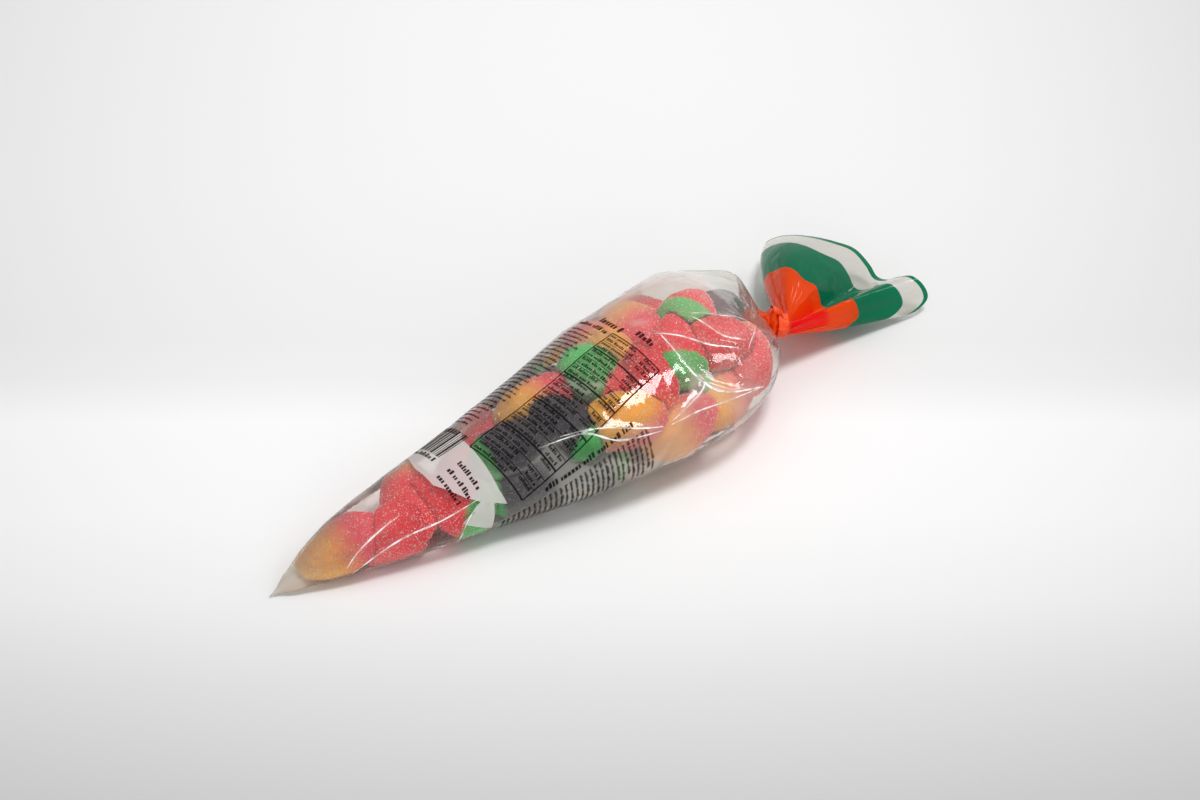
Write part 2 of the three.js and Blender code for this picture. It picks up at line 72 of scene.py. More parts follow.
# The skirt's rim, once round from the far fold over the top layer: x and y from the neck's end, z above the
# floor, and how far the film between neck and rim lies above the straight way there.
RIM = [
    (30.5, 52.5, 9, 0), (32.5, 49.5, 13, 4), (35.5, 43, 17, 7), (40.5, 36.5, 18, 8), (47, 31.5, 16, 7),
    (53.5, 28, 12, 5), (56, 22.5, 7.5, 1), (55, 16.5, 6, -4), (55, 11, 8, -2), (56.5, 6.5, 11.5, 2),
    (59.5, 2.5, 13, 3), (62, -1.5, 10, 2), (63, -3, 5, 0), (57.5, -4.5, 3, -1), (51.5, -3.5, 2.4, -3),
    (47.5, 4.5, 2.8, -4), (46.5, 14.5, 2.2, -5), (47.5, 23.5, 2.4, -5), (44.5, 32.5, 4.5, -5),
    (37.5, 41.5, 6, -4), (30.5, 48.5, 5, -2),
]
# Where the skirt bends, as a share of the way to its rim, and how far its far side spreads and bulges there.
BEND_SHARE = 0.4
SKIRT_SPREAD = 12
SKIRT_BULGE = np.array([-7.2, 4.8, 0])
SKIRT_PLEAT_DEPTH = 1.1
# The least height of the film above the floor.
CONE_FLOOR_GAP = 0.06
SKIRT_FLOOR_GAP = 0.3

# How finely the film is drawn, and how the skirt's rings crowd towards the neck.
AROUND = 360
CONE_RINGS = 250
NECK_RINGS = 24
SKIRT_RINGS = 64
SKIRT_RING_POWER = 1.15


def smooth(samples, t):
    """Catmull-Rom through evenly spaced samples, for an array of t from 0 to len(samples) - 1."""
    samples = np.asarray(samples, float)
    last = len(samples) - 1
    i = np.clip(np.floor(t).astype(int), 0, last - 1)
    f = t - i
    a, b, c, d = (samples[np.clip(i + k, 0, last)] for k in (-1, 0, 1, 2))
    return b + 0.5 * f * (c - a + f * (2 * a - 5 * b + 4 * c - d + f * (3 * (b - c) + d - a)))


def step(x):
    """A smooth step from 0 at x = 0 to 1 at x = 1."""
    x = np.clip(x, 0, 1)
    return x * x * (3 - 2 * x)


GUIDES = np.array([sum((list(part) for part in row), []) for row in BAG_ROWS])


def bag_point(t, v):
    """The bag's outer face at row t and angle v. 0 is the far fold and a quarter turn the crown."""
    g = [smooth(GUIDES[:, k], t) for k in range(GUIDES.shape[1])]
    c, s = np.cos(v), np.sin(v)
    far, top = c >= 0, s >= 0
    side_x, side_y, side_z = (np.where(far, g[k], g[k + 3]) for k in range(3))
    end_x, end_z = np.where(top, g[6], g[8]), np.where(top, g[7], g[9])
    pinch = np.where(far, g[10], g[11])
    mid_y = (g[1] + g[4]) / 2
    x = side_x * c * c + end_x * s * s
    y = mid_y + (side_y - mid_y) * np.abs(c)
    z = side_z + (end_z - side_z) * np.abs(s) ** pinch
    return np.stack([x, y, np.maximum(z, 0)], -1)


def turned(vector):
    """vector turned from the neck's own frame into the pack's."""
    yaw, droop = math.radians(NECK_YAW), math.radians(NECK_DROOP)
    x, y, z = vector
    x, z = x * math.cos(droop) + z * math.sin(droop), z * math.cos(droop) - x * math.sin(droop)
    return np.array([x * math.cos(yaw) - y * math.sin(yaw), x * math.sin(yaw) + y * math.cos(yaw), z])


ANGLES = np.arange(AROUND) * 2 * np.pi / AROUND
LAST_ROW = len(BAG_ROWS) - 1
NECK_AXIS, NECK_FAR, NECK_CROWN = (turned(v) for v in ((1, 0, 0), (0, 1, 0), (0, 0, 1)))
NECK_START = bag_point(np.full(AROUND, float(LAST_ROW)), ANGLES).mean(0)
NECK_END = NECK_START + NECK_AXIS * NECK_LENGTH


def neck_point(along, v, pleat=0.0):
    """A point of the gathered neck. pleat adds to its radius."""
    puff = np.sin(np.pi * np.minimum(along / NECK_PUFF_LENGTH, 1)) ** 2
    tight = step(along / NECK_PUFF_LENGTH)
    plain = NECK_PUFF_RADIUS * NECK_START_SHARE * (1 - tight) + NECK_RADIUS * tight
    pleats = 1 + NECK_PLEAT_DEPTH / NECK_RADIUS * np.cos(NECK_PLEATS * v)
    radius = (plain + (NECK_PUFF_RADIUS - plain) * puff) * pleats + pleat
    along, radius, v = (np.asarray(a, float)[..., None] for a in (along, radius, v))
    return NECK_START + NECK_AXIS * along + NECK_FAR * radius * np.cos(v) + NECK_CROWN * radius * np.sin(v)


def closed_curve(points, count):
    """count points, by share of the points, on the closed centripetal Catmull-Rom curve through them."""
    p = np.asarray(points, float)
    n = len(p)
    share = np.arange(count) * n / count
    i = np.floor(share).astype(int)
    f = (share - i)[:, None]
    p0, p1, p2, p3 = (p[(i + k) % n] for k in (-1, 0, 1, 2))
    d0, d1, d2 = (np.sqrt(np.linalg.norm(b - a, axis=1))[:, None] for a, b in ((p0, p1), (p1, p2), (p2, p3)))
    m1 = ((p1 - p0) / d0 - (p2 - p0) / (d0 + d1) + (p2 - p1) / d1) * d1
    m2 = ((p2 - p1) / d1 - (p3 - p1) / (d1 + d2) + (p3 - p2) / d2) * d1
    return p1 + m1 * f + (-3 * p1 + 3 * p2 - 2 * m1 - m2) * f ** 2 + (2 * p1 - 2 * p2 + m1 + m2) * f ** 3


RIM_CURVE = closed_curve([(NECK_END[0] + x, NECK_END[1] + y, z) for x, y, z, _ in RIM], AROUND)
RIM_RISE = smooth([r[3] for r in RIM] + [RIM[0][3]], np.arange(AROUND) * len(RIM) / AROUND)


def skirt_rings(shares):
    """Rings of the skirt, at shares of its length from the neck to the rim."""
    root = neck_point(np.full(AROUND, NECK_LENGTH), ANGLES)
    far_side = np.maximum(np.cos(ANGLES), 0) ** 2
    spread = root - NECK_END
    spread *= (SKIRT_SPREAD * far_side / np.linalg.norm(spread, axis=1))[:, None]
    bend = root * (1 - BEND_SHARE) + RIM_CURVE * BEND_SHARE + spread + SKIRT_BULGE * far_side[:, None]
    bend[:, 2] += RIM_RISE
    t = np.asarray(shares)[:, None, None]
    p = root * (1 - t) ** 2 + bend * 2 * t * (1 - t) + RIM_CURVE * t ** 2
    t = t[..., 0]
    p[..., 2] += SKIRT_PLEAT_DEPTH * np.sin(np.pi * t) * (1 - t) * np.cos(NECK_PLEATS * ANGLES)
    return p


def grid_normals(p):
    """Outward normals of rings of points."""
    along = np.gradient(p, axis=0)
    around = np.roll(p, -1, 1) - np.roll(p, 1, 1)
    n = np.cross(around, along)
    return n / np.maximum(np.linalg.norm(n, axis=-1, keepdims=True), 1e-9)


def blurred(field, rounds):
    """A field on rings of points, smoothed over its neighbours."""
    for _ in range(rounds):
        field = (field + np.roll(field, 1, 1) + np.roll(field, -1, 1)) / 3
        padded = np.concatenate([field[:1], field, field[-1:]])
        field = (padded[:-2] + padded[1:-1] + padded[2:]) / 3
    return field


# The frame

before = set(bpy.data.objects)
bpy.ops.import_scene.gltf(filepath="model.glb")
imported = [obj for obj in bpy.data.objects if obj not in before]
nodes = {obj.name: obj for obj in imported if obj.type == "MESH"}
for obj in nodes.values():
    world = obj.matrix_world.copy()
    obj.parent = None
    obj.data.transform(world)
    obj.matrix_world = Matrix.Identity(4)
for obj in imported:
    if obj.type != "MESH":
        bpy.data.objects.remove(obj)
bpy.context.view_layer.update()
scene = bpy.context.scene

film_places = np.array([v.co for v in nodes["film_bag"].data.vertices])
tip = film_places[film_places[:, 0] < film_places[:, 0].min() + 0.5 * MM]
ORIGIN = np.array([tip[:, 0].min(), tip[:, 1].mean(), 0])


def to_metres(points):
    return np.asarray(points) * MM + ORIGIN


def new_object(name, data):
    obj = bpy.data.objects.new(name, data)
    scene.collection.objects.link(obj)
    return obj


def mesh_object(name, vertices, faces, materials):
    """A new smooth-shaded object, in metres."""
    mesh = bpy.data.meshes.new(name)
    mesh.from_pydata([tuple(v) for v in vertices], [], [tuple(f) for f in faces])
    for material in materials:
        mesh.materials.append(material)
    mesh.polygons.foreach_set("use_smooth", [True] * len(mesh.polygons))
    return new_object(name, mesh)


def point_values(obj, name, values):
    """Stores a number for each point of a mesh, for its material to read."""
    stored = obj.data.attributes.new(name, "FLOAT", "POINT")
    stored.data.foreach_set("value", values)


def ring_faces(rings, around, first=0):
    """Quads between rings of points, facing out."""
    k = np.arange(around)
    n = (k + 1) % around
    a = first + np.arange(rings - 1)[:, None] * around
    return np.stack([a + k, a + n, a + around + n, a + around + k], -1).reshape(-1, 4)


# Materials

def node(tree, kind, inputs=(), output=0, **settings):
    """One output of a new shader node, with the node's settings and its inputs as values or links."""
    made = tree.nodes.new("ShaderNode" + kind)
    for key, value in settings.items():
        setattr(made, key, value)
    for key, value in dict(inputs).items():
        if isinstance(value, bpy.types.NodeSocket):
            tree.links.new(value, made.inputs[key])
        else:
            made.inputs[key].default_value = value
    return made.outputs[output]


def rgba(colour):
    """A colour written in sRGB, 0 to 255, as linear light."""
    linear = [c / 255 / 12.92 if c <= 10 else ((c / 255 + 0.055) / 1.055) ** 2.4 for c in colour]
    return (*linear, 1)


def attribute(tree, name):
    return node(tree, "Attribute", output="Fac", attribute_name=name)


def facing(tree, blend):
    return node(tree, "LayerWeight", {"Blend": blend}, "Facing")


def noise(tree, scale, detail=2.0, distortion=0.0):
    """Noise over the piece's own coordinates."""
    return node(tree, "TexNoise", {"Vector": node(tree, "TexCoord", output="Object"), "Scale": scale,
                                   "Detail": detail, "Distortion": distortion})


def map_range(tree, value, to, start=(0.0, 1.0)):
    """A value moved from the range start to the range to."""
    return node(tree, "MapRange", {"Value": value, "From Min": start[0], "From Max": start[1],
                                   "To Min": to[0], "To Max": to[1]})


def colour_ramp(tree, share, stops, interpolation="LINEAR"):
    """A colour that follows share through stops of a position and a linear colour."""
    colour = node(tree, "ValToRGB", {"Fac": share})
    ramp = colour.node.color_ramp
    ramp.interpolation = interpolation
    while len(ramp.elements) < len(stops):
        ramp.elements.new(0.5)
    for element, (position, shade) in zip(ramp.elements, stops):
        element.position, element.color = position, shade
    return colour


def mixed_colour(tree, amount, first, second):
    return node(tree, "Mix", {"Factor": amount, "A": first, "B": second}, "Result", data_type="RGBA")


def mixed(tree, amount, first, second):
    """A blend of two shaders, all first where amount is 0."""
    return node(tree, "MixShader", {0: amount, 1: first, 2: second})


def bumped(tree, height, distance, strength):
    return node(tree, "Bump", {"Height": height, "Distance": distance, "Strength": strength})


def new_material(name):
    material = bpy.data.materials.new(name)
    material.use_nodes = True
    material.node_tree.nodes.clear()
    return material, material.node_tree


def finished(material, shader):
    tree = material.node_tree
    tree.links.new(shader, tree.nodes.new("ShaderNodeOutputMaterial").inputs["Surface"])
    return material


CLEAR_FILM_IOR = 1.42
PRINTED_FILM_IOR = 1.22
# The haze at which the film's own tint is full.
FULL_TINT_HAZE = 0.36


def film_gloss(tree, under, bump, ior):
    """Puts the film's clear gloss over a shader."""
    fresnel = node(tree, "Fresnel", {"IOR": ior, "Normal": bump})
    gloss = node(tree, "BsdfGlossy", {"Color": (1, 1, 1, 1), "Roughness": 0.07, "Normal": bump})
    return mixed(tree, fresnel, under, gloss)


def film_bump(tree, distance):
    """The film's broad waves and, over them, its fine crinkle."""
    broad = bumped(tree, noise(tree, 85.0, 1.5, 1.4), 0.0007, 0.6)
    fine = bumped(tree, noise(tree, 260.0, 3.0, 0.6), distance, 0.5)
    tree.links.new(broad, fine.node.inputs["Normal"])
    return fine


def clear_film():
    """The cone's film, see-through but for its haze attribute, which also carries the folds' painted
    highlights.
    """
    material, tree = new_material("clear_film")
    haze = attribute(tree, "haze")
    tint = colour_ramp(tree, haze, [(0, (0.97, 0.968, 0.96, 1)), (FULL_TINT_HAZE, (0.95, 0.94, 0.905, 1))])
    through = node(tree, "BsdfTransparent", {"Color": tint})
    front = node(tree, "BsdfDiffuse", {"Color": (0.9, 0.88, 0.81, 1)})
    behind = node(tree, "BsdfTranslucent", {"Color": (0.95, 0.92, 0.86, 1)})
    amount = map_range(tree, facing(tree, 0.25), (haze, 0.5))
    under = mixed(tree, amount, through, mixed(tree, 0.5, front, behind))
    return finished(material, film_gloss(tree, under, film_bump(tree, 0.00005), CLEAR_FILM_IOR))


# The skirt's print: where its fields of colour end, as shares of its length from the neck, and the power that
# a share is raised to on the far and the near lobe. Under 1, the fields end nearer to the neck.
ORANGE_END = 0.5
GREEN_END = 0.82
EDGE_LINE_START = 0.965
FAR_FIELDS = 0.8
NEAR_FIELDS = 1.15
ORANGE, LEAF_GREEN, UNPRINTED = (255, 82, 2), (0, 126, 88), (226, 224, 216)
DOUBLED_ORANGE = (255, 4, 2)
WHITE, BLACK = (255, 255, 255), (0, 0, 0)


def printed_film():
    """The skirt's film: orange, green, clear, and a green line at the rim."""
    material, tree = new_material("printed_film")
    share = attribute(tree, "share")

    def fields(*colours):
        starts = (0, ORANGE_END, GREEN_END, EDGE_LINE_START)
        return colour_ramp(tree, share, list(zip(starts, map(rgba, colours))), "CONSTANT")

    printed = fields(ORANGE, LEAF_GREEN, UNPRINTED, LEAF_GREEN)
    inked = fields(WHITE, WHITE, BLACK, WHITE)
    colour = mixed_colour(tree, attribute(tree, "doubled"), printed, rgba(DOUBLED_ORANGE))
    ink = node(tree, "BsdfDiffuse", {"Color": colour})
    glow = node(tree, "BsdfTranslucent", {"Color": colour})
    tint = node(tree, "BsdfTransparent", {"Color": colour})
    clear_amount = map_range(tree, facing(tree, 0.3), (0.3, 0.6))
    amount = map_range(tree, inked, (clear_amount, 0.93))
    under = mixed(tree, amount, tint, mixed(tree, 0.45, ink, glow))
    return finished(material, film_gloss(tree, under, film_bump(tree, 0.0001), PRINTED_FILM_IOR))


def print_ink(name, colour, opacity):
    material, tree = new_material(name)
    worn = node(tree, "TexNoise", {"Scale": 900.0, "Detail": 2.0})
    amount = map_range(tree, worn, (opacity * 0.9, opacity), (0.3, 0.7))
    ink = node(tree, "BsdfDiffuse", {"Color": rgba(colour)})
    return finished(material, mixed(tree, amount, node(tree, "BsdfTransparent"), ink))


# How far noise moves the edge between a gummy's two colours, in half lengths.
CAP_WOBBLE = 0.22
FROST_WHITE = (255, 244, 236)


def gummy_material(name, body, cap, cap_share, softness, frosting=0.16):
    """A fruit jelly, one colour running into another near its cap end, with a fine sugar frost."""
    material, tree = new_material(name)
    moved = node(tree, "Math", {0: noise(tree, 170.0), 1: CAP_WOBBLE, 2: attribute(tree, "along")},
                 operation="MULTIPLY_ADD")
    start = 1 - cap_share + CAP_WOBBLE / 2
    cap_amount = map_range(tree, moved, (0.0, 1.0), (start - softness, start + softness))
    colour = mixed_colour(tree, cap_amount, rgba(body), rgba(cap))
    grain = noise(tree, 2200.0, 3.0)
    frost = map_range(tree, grain, (0.0, frosting), (0.52, 0.7))
    jelly = node(tree, "BsdfPrincipled", {
        "Base Color": mixed_colour(tree, frost, colour, rgba(FROST_WHITE)), "Roughness": 0.55,
        "Normal": bumped(tree, grain, 0.0003, 0.8), "Subsurface Weight": 0.25, "Subsurface Scale": 0.004,
        "Subsurface Radius": (1.0, 0.5, 0.35)})
    return finished(material, jelly)


def sugar_material(name, body, whiteness):
    """Sugar grains, a little of the jelly's colour showing through them."""
    material, tree = new_material(name)
    shades = [rgba([c + (255 - c) * white for c in body]) for white in whiteness]
    colour = colour_ramp(tree, noise(tree, 600.0), list(enumerate(shades)))
    return finished(material, node(tree, "BsdfPrincipled", {"Base Color": colour, "Roughness": 0.15}))


def tie_material():
    material, tree = new_material("tie_ribbon")
    crumple = noise(tree, 900.0, 3.0)
    # Painted shade and light: the ribbon is darker in the dips of its crumples and lighter on their rises.
    colour = colour_ramp(tree, crumple, [(0, rgba((222, 44, 8))), (1, rgba((255, 92, 20)))])
    return finished(material, node(tree, "BsdfPrincipled", {
        "Base Color": colour, "Roughness": 0.32, "Normal": bumped(tree, crumple, 0.0002, 0.6)}))


def wire_material():
    material, tree = new_material("tie_wire")
    rough = map_range(tree, node(tree, "TexNoise", {"Scale": 3000.0}), (0.3, 0.5))
    return finished(material, node(tree, "BsdfPrincipled", {
        "Base Color": rgba((62, 40, 34)), "Metallic": 0.8, "Roughness": rough}))


def fold_highlight_material():
    """Painted highlights along the folds: white and glossy, thinner in places."""
    material, tree = new_material("fold_highlight_strips")
    amount = map_range(tree, noise(tree, 220.0), (0.25, 0.95), (0.38, 0.56))
    white = node(tree, "BsdfPrincipled", {"Base Color": (0.97, 0.97, 0.96, 1), "Roughness": 0.2})
    return finished(material, mixed(tree, amount, node(tree, "BsdfTransparent"), white))


# Gummies

RED, GREEN, AMBER, PINK, PURPLE = (244, 12, 42), (60, 200, 90), (255, 178, 26), (246, 52, 84), (26, 16, 36)


def gummy_look(name, *colours, whiteness=(0.65, 1.0)):
    """The jelly, the sugar on it, and the slot of the fruit, which is the last word of the name."""
    jelly = gummy_material(f"{name}_jelly", *colours)
    sugar = sugar_material(f"{name}_sugar", colours[0], whiteness)
    return jelly, sugar, "gummy_" + name.split("_")[-1]


# Each look's body and cap colours, how far the cap reaches along the fruit, in half lengths, and how soft the
# change is. The grape has less frost and darker sugar.
STRAWBERRY = gummy_look("strawberry", RED, GREEN, 0.6, 0.06)
PLAIN_STRAWBERRY = gummy_look("plain_strawberry", RED, (230, 6, 34), 0.6, 0.3)
PEACH = gummy_look("peach", AMBER, PINK, 0.95, 0.3)
RIPE_PEACH = gummy_look("ripe_peach", (255, 158, 48), RED, 1.6, 0.22)
GRAPE = gummy_look("grape", PURPLE, GREEN, 0.44, 0.07, 0.05, whiteness=(0.2, 0.62))
LEAFY_STRAWBERRY = gummy_look("leafy_strawberry", RED, GREEN, 1.25, 0.06)
RED_PEACH = gummy_look("red_peach", (250, 84, 40), (232, 6, 36), 1.75, 0.2)

# Each gummy's look, and the way its cap end points: degrees round the vertical, and down from level.
GUMMIES = [
    (PEACH, -8, -16), (RIPE_PEACH, -115, 15), (PLAIN_STRAWBERRY, -6, -8), (STRAWBERRY, -45, 20),
    (GRAPE, 170, 10), (STRAWBERRY, -100, 12), (PEACH, -5, -12), (LEAFY_STRAWBERRY, 125, -10),
    (GRAPE, -70, 15), (PEACH, -15, 70), (GRAPE, -20, 5), (GRAPE, 165, 8), (STRAWBERRY, -120, 12),
    (PEACH, 5, -8), (RED_PEACH, 60, -20), (RED_PEACH, -60, 16), (RIPE_PEACH, -125, 5), (PEACH, 15, -5),
    (GRAPE, -15, 12), (GRAPE, 55, 10), (STRAWBERRY, -140, -12), (PEACH, -85, -8), (PEACH, 100, 8),
    (GRAPE, 25, 0), (STRAWBERRY, 30, 0), (PEACH, 100, 0), (STRAWBERRY, 60, 0), (GRAPE, 110, 0),
    (PEACH, 20, -5), (STRAWBERRY, -80, 5), (PEACH, 70, -5),
]
GUMMY_VOXEL = 0.0008
SOFTEN_FACTOR, SOFTEN_ROUNDS = 0.5, 8
# Sugar crystals on each gummy: how many, half their size in millimetres, and how far they are stretched.
CRYSTALS = 1600
CRYSTAL_SIZE = (0.09, 0.22)
CRYSTAL_STRETCH = (0.85, 1.1)
TETRA = np.array([(1, 1, 1), (1, -1, -1), (-1, 1, -1), (-1, -1, 1)], float)
TETRA_FACES = np.array([(0, 1, 2), (0, 3, 1), (0, 2, 3), (1, 3, 2)])


def softened_mesh(source):
    """A copy of a node's mesh with even faces and rounded edges."""
    work = new_object("work", source.data.copy())
    remesh = work.modifiers.new("even", "REMESH")
    remesh.mode, remesh.voxel_size = "VOXEL", GUMMY_VOXEL
    soften = work.modifiers.new("soften", "SMOOTH")
    soften.factor, soften.iterations = SOFTEN_FACTOR, SOFTEN_ROUNDS
    mesh = bpy.data.meshes.new_from_object(work.evaluated_get(bpy.context.evaluated_depsgraph_get()))
    bpy.data.objects.remove(work)
    return mesh


def crystals_on(mesh, count):
    """Tiny irregular crystals scattered over a mesh: their points and their triangles."""
    mesh.calc_loop_triangles()
    places = np.array([v.co for v in mesh.vertices])
    tris = np.array([t.vertices for t in mesh.loop_triangles])
    a, b, c = (places[tris[:, k]] for k in range(3))
    normals = np.cross(b - a, c - a)
    areas = np.linalg.norm(normals, axis=1)
    pick = RNG.choice(len(tris), count, p=areas / areas.sum())
    u, w = RNG.random((2, count, 1))
    flip = u + w > 1
    u, w = np.where(flip, 1 - u, u), np.where(flip, 1 - w, w)
    centres = a[pick] + (b[pick] - a[pick]) * u + (c[pick] - a[pick]) * w
    sizes = RNG.uniform(*CRYSTAL_SIZE, (count, 1, 1)) * MM
    turns = np.linalg.qr(RNG.normal(size=(count, 3, 3)))[0]
    turns[:, :, 0] *= np.linalg.det(turns)[:, None]
    stretch = RNG.uniform(*CRYSTAL_STRETCH, (count, 1, 3))
    shapes = np.einsum("nij,nkj->nki", turns, TETRA[None] * stretch) * sizes
    points = (centres[:, None] + shapes).reshape(-1, 3)
    faces = (TETRA_FACES[None] + 4 * np.arange(count)[:, None, None]).reshape(-1, 3)
    return points, faces


def make_gummy(index, look, yaw, pitch):
    """One sugared gummy in place of its solid. Returns a search tree of its jelly."""
    jelly, sugar, slot = look
    name = f"gummy_{index:02d}"
    mesh = softened_mesh(nodes[name])
    places = np.array([v.co for v in mesh.vertices])
    yaw, pitch = math.radians(yaw), math.radians(pitch)
    axis = np.array([math.cos(yaw) * math.cos(pitch), math.sin(yaw) * math.cos(pitch), -math.sin(pitch)])
    reach = places @ axis
    along = (reach - reach.min()) / (reach.max() - reach.min()) * 2 - 1
    body_faces = [tuple(p.vertices) for p in mesh.polygons]
    crystals, crystal_faces = crystals_on(mesh, CRYSTALS)
    vertices = np.concatenate([places, crystals])
    faces = body_faces + [tuple(f) for f in crystal_faces + len(places)]
    gummy = mesh_object(f"sugared_{name}", vertices, faces, [jelly, sugar])
    flat = np.arange(len(faces)) >= len(body_faces)
    gummy.data.polygons.foreach_set("material_index", flat.astype(int))
    gummy.data.polygons.foreach_set("use_smooth", ~flat)
    point_values(gummy, "along", np.concatenate([along, np.zeros(len(crystals))]))
    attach(gummy, "root")
    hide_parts(name)
    tree = BVHTree.FromPolygons([tuple(v) for v in places], body_faces)
    bpy.data.meshes.remove(mesh)
    return tree


gummy_trees = [make_gummy(i + 1, *gummy) for i, gummy in enumerate(GUMMIES)]
gummy_boxes = [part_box(f"gummy_{i + 1:02d}") for i in range(len(GUMMIES))]

# Film of the cone

# Its long folds: how high each stands, how wide it is, and its points, as x along the pack and the distance
# across the film from the crown, + to the far side.
FOLDS = [
    (1.4, 2.0, [(153, -4), (153, -17), (156, -29), (165, -37), (180, -42)]),
    (1.1, 1.7, [(156, -29), (153, -31), (140, -34)]),
    (0.9, 1.2, [(168, -6), (173, -19), (182, -25)]),
    (0.9, 1.2, [(169, -5), (179, -13), (190, -19), (181, -28)]),
    (0.8, 1.2, [(150, -2), (158, -10), (167, -20), (177, -26)]),
    (0.9, 1.6, [(103, -16), (116, -22), (128, -30), (136, -34)]),
    (0.9, 1.5, [(95, -15), (110, -20), (120, -29), (135, -35)]),
    (0.7, 1.1, [(139, -35), (151, -36), (164, -39), (180, -42)]),
    (0.7, 1.4, [(24, -12), (30, -10), (46, -8)]),
    (0.7, 1.4, [(25, -15), (43, -15), (57, -17), (71, -18)]),
    (0.35, 1.0, [(60, -31), (64, -23), (70, -19)]),
]
# Its short creases: how many, where they lie along the pack, and how far across the film they reach there.
FINE_CREASES = 90
CREASES_FROM, CREASES_TO = 205, 55
CREASE_REACH = np.array([(50, 22), (100, 45), (160, 60), (205, 45)])
# How deep under the film a gummy still counts, and how far above it the search starts.
FAR_BELOW = 10
RAY_LEAD = 2
# The film sinks by a share of its depth over the sweets, past a least depth, and stays clear of them.
SINK_SHARE = 0.16
SINK_FROM, SINK_RANGE = 0.9, 2.4
SINK_CLEARANCE = 0.55
# The tip is creased to a point over a length, down to a share of its width. Folds start over a longer one.
TIP_LENGTH = 9
TIP_SHARE = 0.12
TIP_PLAIN_LENGTH = 20


def even_rows(count):
    """Row values that space the rings evenly along the cone."""
    t = np.linspace(0, LAST_ROW, 1000)
    quarters = [bag_point(t, np.full(1000, v)) for v in (0, np.pi / 2, np.pi, 3 * np.pi / 2)]
    spine = np.stack(quarters, 1).mean(1)
    run = np.concatenate([[0], np.cumsum(np.linalg.norm(np.diff(spine, axis=0), axis=1))])
    return np.interp(np.linspace(0, run[-1], count), run, t)


def across_film(ring_steps):
    """Each point's distance across the film from the crown, positive to the far side."""
    far = (CROWN - np.arange(1, AROUND // 2 + 1)) % AROUND
    near = (CROWN + np.arange(1, AROUND // 2)) % AROUND
    distance = np.zeros(ring_steps.shape)
    distance[:, far] = np.cumsum(ring_steps[:, far], 1)
    distance[:, near] = -np.cumsum(ring_steps[:, near - 1], 1)
    return distance


# The smooth cone that folds and print are placed on.
CROWN = AROUND // 4
cone = bag_point(*np.broadcast_arrays(even_rows(CONE_RINGS)[:, None], ANGLES[None, :]))
crown_x = cone[:, CROWN, 0]
across = across_film(np.linalg.norm(np.roll(cone, -1, 1) - cone, axis=-1))
along_film = np.broadcast_to(crown_x[:, None], across.shape)


def from_stretch(a, b):
    """Each film point's place beside the stretch from a to b, as a share of it, and its distance from it."""
    run = np.subtract(b, a, dtype=float)
    px, py = along_film - a[0], across - a[1]
    s = np.clip((px * run[0] + py * run[1]) / (run @ run), 0, 1)
    return s, np.hypot(px - s * run[0], py - s * run[1])


def crease(field, a, b, height, width):
    """Adds one crease between two points of the film, fading towards its ends."""
    s, off = from_stretch(a, b)
    field += height * step(s * 4) * step((1 - s) * 4) * np.exp(-off / width) * (off < width * 6)


def fold(field, height, width, points):
    """Adds one long fold through several points, evenly high between its ends."""
    best = np.zeros(field.shape)
    for i, stretch in enumerate(zip(points[:-1], points[1:])):
        s, off = from_stretch(*stretch)
        place = (i + s) / (len(points) - 1)
        best = np.maximum(best, np.exp(-off / width) * step(place * 5 + 0.1) * step((1 - place) * 5 + 0.1))
    field += height * best


def fine_creases(field):
    """Short creases, most of them where the film runs in to the neck."""
    for _ in range(FINE_CREASES):
        x = CREASES_FROM - (CREASES_FROM - CREASES_TO) * RNG.random() ** 1.6
        half = np.interp(x, *CREASE_REACH.T)
        w = RNG.uniform(-half, half)
        length = RNG.uniform(6, 26)
        lean = RNG.normal(0, 0.5) if RNG.random() < 0.6 else RNG.uniform(0, np.pi)
        run = np.array([math.cos(lean), math.sin(lean)]) * length
        crease(field, (x, w), (x + run[0], w + run[1]), RNG.uniform(-0.1, 0.22), RNG.uniform(0.7, 1.3))


def near_trees(place):
    """The gummies whose boxes, widened by FAR_BELOW, hold a place."""
    margin = FAR_BELOW * MM
    return (tree for tree, (low, high) in zip(gummy_trees, gummy_boxes)
            if all(low[a] - margin < place[a] < high[a] + margin for a in range(3)))


def depth_to_gummies():
    """How deep under each point of the film the next gummy lies, in whole millimetres."""
    normals = grid_normals(cone)
    centres = to_metres(cone)
    depth = np.full(across.shape, FAR_BELOW)
    lead = RAY_LEAD * MM
    for i in range(CONE_RINGS):
        for k in range(0, AROUND, 2):
            place, way = Vector(centres[i, k]), Vector(-normals[i, k])
            start = place - way * lead
            hits = (tree.ray_cast(start, way, (FAR_BELOW + RAY_LEAD) * MM)[3] for tree in near_trees(place))
            found = [h - lead for h in hits if h is not None]
            if found:
                depth[i, k] = depth[i, (k + 1) % AROUND] = min(found) / MM
    return depth


def shaped_cone():
    """The cone's film: folded, sunk between the sweets, and creased to a sharp tip."""
    sink = blurred(np.clip(free_depth - SINK_FROM, 0, SINK_RANGE) * SINK_SHARE, 12)
    room = np.maximum(blurred(free_depth, 1) - SINK_CLEARANCE, 0)
    creases = np.zeros(across.shape)
    for one in FOLDS:
        fold(creases, *one)
    fine_creases(creases)
    lift = (blurred(creases, 1) - np.minimum(sink, room)) * tip_fade
    shaped = cone + grid_normals(cone) * lift[..., None]
    shaped[..., 2] = np.maximum(shaped[..., 2], CONE_FLOOR_GAP)
    middle = shaped.mean(1, keepdims=True)
    width = TIP_SHARE + (1 - TIP_SHARE) * step((crown_x + 1) / TIP_LENGTH)
    return middle + (shaped - middle) * width[:, None, None]


